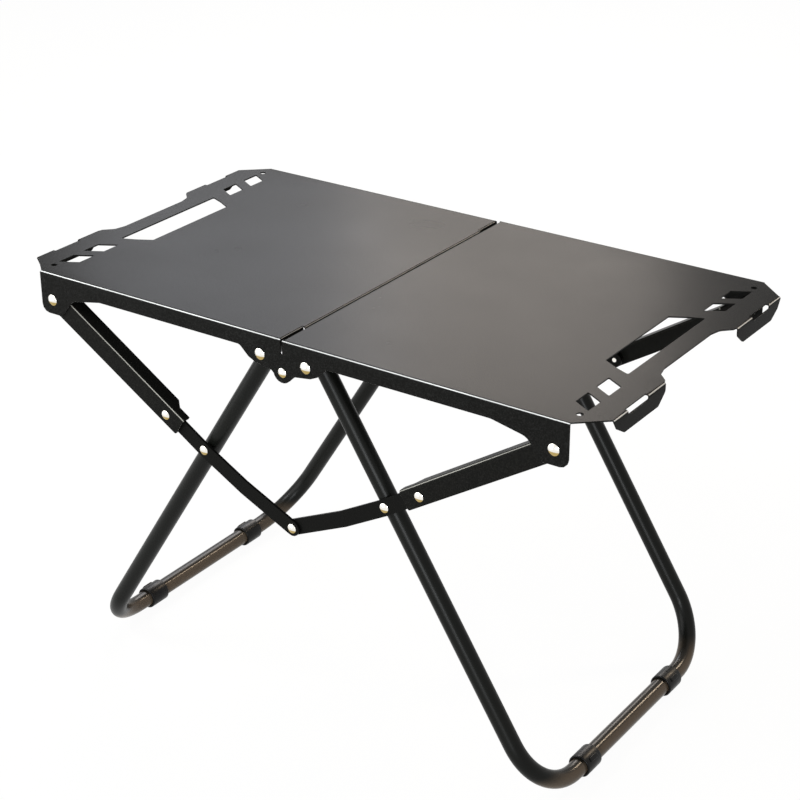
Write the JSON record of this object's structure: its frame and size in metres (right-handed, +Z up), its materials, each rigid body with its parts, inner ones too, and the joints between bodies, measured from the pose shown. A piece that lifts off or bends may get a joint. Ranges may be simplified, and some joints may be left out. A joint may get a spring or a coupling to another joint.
{
  "type": "folding camping table",
  "caption": "Folding camping table with a two-panel steel top, U-shaped tube legs and braces that fold flat with the halves.",
  "frame": {"origin": "on the ground under the middle of the standing table", "axes": "+X along the length, +Y across the depth, +Z up"},
  "size_m": [0.7, 0.4018, 0.45],
  "materials": {
    "panel_coat": "fine satin powder coat, near black",
    "tube_coat": "smooth satin powder coat, black",
    "rivet_steel": "bright yellow zinc-plated rivet heads",
    "black_nylon": "moulded black nylon"
  },
  "bodies": {
    "panel_left": {"panel_left": "panel_coat", "brace_rivet_left_front": "rivet_steel", "brace_rivet_left_back": "rivet_steel", "centre_rivet_front": "rivet_steel", "centre_rivet_back": "rivet_steel"},
    "leg_left": {"leg_left": "tube_coat", "leg_rivet_left_front": "rivet_steel", "crossing_tail_left_front": "rivet_steel", "leg_spacer_left_front": "black_nylon", "tube_plug_left_front": "black_nylon", "foot_clip_left_front": "black_nylon", "leg_rivet_left_back": "rivet_steel", "crossing_tail_left_back": "rivet_steel", "leg_spacer_left_back": "black_nylon", "tube_plug_left_back": "black_nylon", "foot_clip_left_back": "black_nylon"},
    "brace_left": {"brace_left_front": "panel_coat", "link_rivet_left_front": "rivet_steel", "link_washer_left_front": "black_nylon", "brace_left_back": "panel_coat", "link_rivet_left_back": "rivet_steel", "link_washer_left_back": "black_nylon"},
    "link_left": {"link_left_front": "panel_coat", "crossing_rivet_left_front": "rivet_steel", "crossing_spacer_left_front": "black_nylon", "link_left_back": "panel_coat", "crossing_rivet_left_back": "rivet_steel", "crossing_spacer_left_back": "black_nylon", "link_joint_rivet_front": "rivet_steel", "link_joint_rivet_back": "rivet_steel"},
    "panel_right": {"panel_right": "panel_coat", "brace_rivet_right_front": "rivet_steel", "brace_rivet_right_back": "rivet_steel"},
    "leg_right": {"leg_right": "tube_coat", "leg_rivet_right_front": "rivet_steel", "crossing_tail_right_front": "rivet_steel", "leg_spacer_right_front": "black_nylon", "tube_plug_right_front": "black_nylon", "foot_clip_right_front": "black_nylon", "leg_rivet_right_back": "rivet_steel", "crossing_tail_right_back": "rivet_steel", "leg_spacer_right_back": "black_nylon", "tube_plug_right_back": "black_nylon", "foot_clip_right_back": "black_nylon"},
    "brace_right": {"brace_right_front": "panel_coat", "link_rivet_right_front": "rivet_steel", "link_washer_right_front": "black_nylon", "brace_washer_right_front": "black_nylon", "brace_right_back": "panel_coat", "link_rivet_right_back": "rivet_steel", "link_washer_right_back": "black_nylon", "brace_washer_right_back": "black_nylon"},
    "link_right": {"link_right_front": "panel_coat", "crossing_rivet_right_front": "rivet_steel", "link_right_back": "panel_coat", "crossing_rivet_right_back": "rivet_steel", "link_joint_tail_front": "rivet_steel", "link_joint_tail_back": "rivet_steel"}
  },
  "joints": [
    {"name": "fold", "type": "hinge", "parent": "panel_left", "child": "panel_right", "pos_m": [0, 0, 0.4157], "axis": [0, 1, 0], "range_deg": [0, 176.74]},
    {"name": "leg_left_fold", "type": "hinge", "parent": "panel_left", "child": "leg_left", "pos_m": [-0.0285, 0, 0.428], "axis": [0, 1, 0], "range_deg": [0, 56.04]},
    {"name": "brace_left_fold", "type": "hinge", "parent": "panel_left", "child": "brace_left", "pos_m": [-0.3047, 0, 0.4198], "axis": [0, -1, 0], "range_deg": [0, 34.38]},
    {"name": "link_left_fold", "type": "hinge", "parent": "brace_left", "child": "link_left", "pos_m": [-0.15761, 0, 0.32548], "axis": [0, 1, 0], "range_deg": [0, 180.02]},
    {"name": "leg_right_fold", "type": "hinge", "parent": "panel_right", "child": "leg_right", "pos_m": [0.0285, 0, 0.428], "axis": [0, -1, 0], "range_deg": [0, 56.04]},
    {"name": "brace_right_fold", "type": "hinge", "parent": "panel_right", "child": "brace_right", "pos_m": [0.3047, 0, 0.4198], "axis": [0, 1, 0], "range_deg": [0, 34.38]},
    {"name": "link_right_fold", "type": "hinge", "parent": "brace_right", "child": "link_right", "pos_m": [0.15761, 0, 0.32548], "axis": [0, -1, 0], "range_deg": [0, 180.02]}
  ],
  "couplings": [
    {"joint": "leg_left_fold", "follows": "fold", "ratio": 0.317},
    {"joint": "brace_left_fold", "follows": "fold", "ratio": 0.19447},
    {"joint": "link_left_fold", "follows": "fold", "ratio": 1.0185},
    {"joint": "leg_right_fold", "follows": "fold", "ratio": 0.317},
    {"joint": "brace_right_fold", "follows": "fold", "ratio": 0.19447},
    {"joint": "link_right_fold", "follows": "fold", "ratio": 1.0185}
  ]
}
